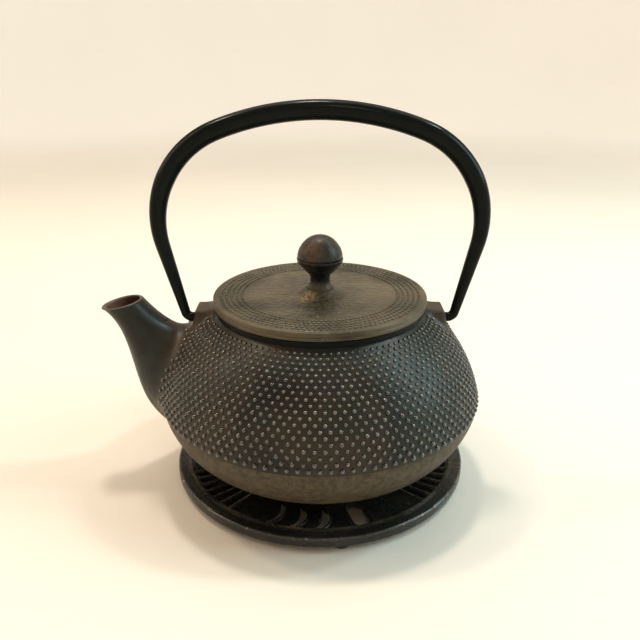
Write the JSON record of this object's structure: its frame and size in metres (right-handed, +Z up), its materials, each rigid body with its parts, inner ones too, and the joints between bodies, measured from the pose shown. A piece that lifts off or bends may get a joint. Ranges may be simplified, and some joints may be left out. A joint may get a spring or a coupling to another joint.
{
  "type": "cast iron teapot",
  "caption": "Squat cast iron teapot with studded dome, bail handle, flat lid with ball knob, drop-in infuser and round openwork trivet.",
  "frame": {"origin": "on the table, under the pot's axis, level with the underside of the trivet's feet", "axes": "+Z up along the pot's axis, the spout points along -X, the bail's hinge axis lies along X"},
  "size_m": [0.1856, 0.159, 0.184],
  "materials": {
    "pot_iron": "satin near-black cast iron with a sand-cast grain",
    "lid_iron": "brown-grey worn cast iron",
    "knob_iron": "glossy black lacquered iron, rubbed brown on top",
    "trivet_iron": "semi-gloss black cast iron, worn bright on its edges",
    "handle_lacquer": "gloss black lacquer on bent steel tube",
    "foot_rubber": "matte black rubber",
    "infuser_steel": "pressed stainless steel",
    "infuser_mesh": "fine woven stainless mesh"
  },
  "bodies": {
    "trivet": {"trivet_plate": "trivet_iron", "trivet_foot_front": "foot_rubber", "trivet_foot_right": "foot_rubber", "trivet_foot_left": "foot_rubber"},
    "pot": {"pot_body": "pot_iron"},
    "bail": {"handle": "handle_lacquer"},
    "infuser": {"infuser_rim": "infuser_steel", "infuser_wall": "infuser_mesh", "infuser_floor": "infuser_mesh", "infuser_band": "infuser_steel"},
    "lid": {"lid_plate": "lid_iron", "knob_washer": "infuser_steel"},
    "knob": {"lid_knob": "knob_iron"}
  },
  "joints": [
    {"name": "pot_lift", "type": "slide", "parent": "trivet", "child": "pot", "axis": [0, 0, 1], "range_m": [0, 0.06]},
    {"name": "handle_swing", "type": "hinge", "parent": "pot", "child": "bail", "pos_m": [0, 0, 0.0822], "axis": [1, 0, 0], "range_deg": [-115, 115]},
    {"name": "infuser_lift", "type": "slide", "parent": "pot", "child": "infuser", "axis": [0, 0, 1], "range_m": [0, 0.045]},
    {"name": "lid_lift", "type": "slide", "parent": "infuser", "child": "lid", "axis": [0, 0, 1], "range_m": [0, 0.045]},
    {"name": "knob_spin", "type": "hinge", "parent": "lid", "child": "knob", "pos_m": [0, 0, 0.0975], "axis": [0, 0, 1], "continuous": true}
  ]
}
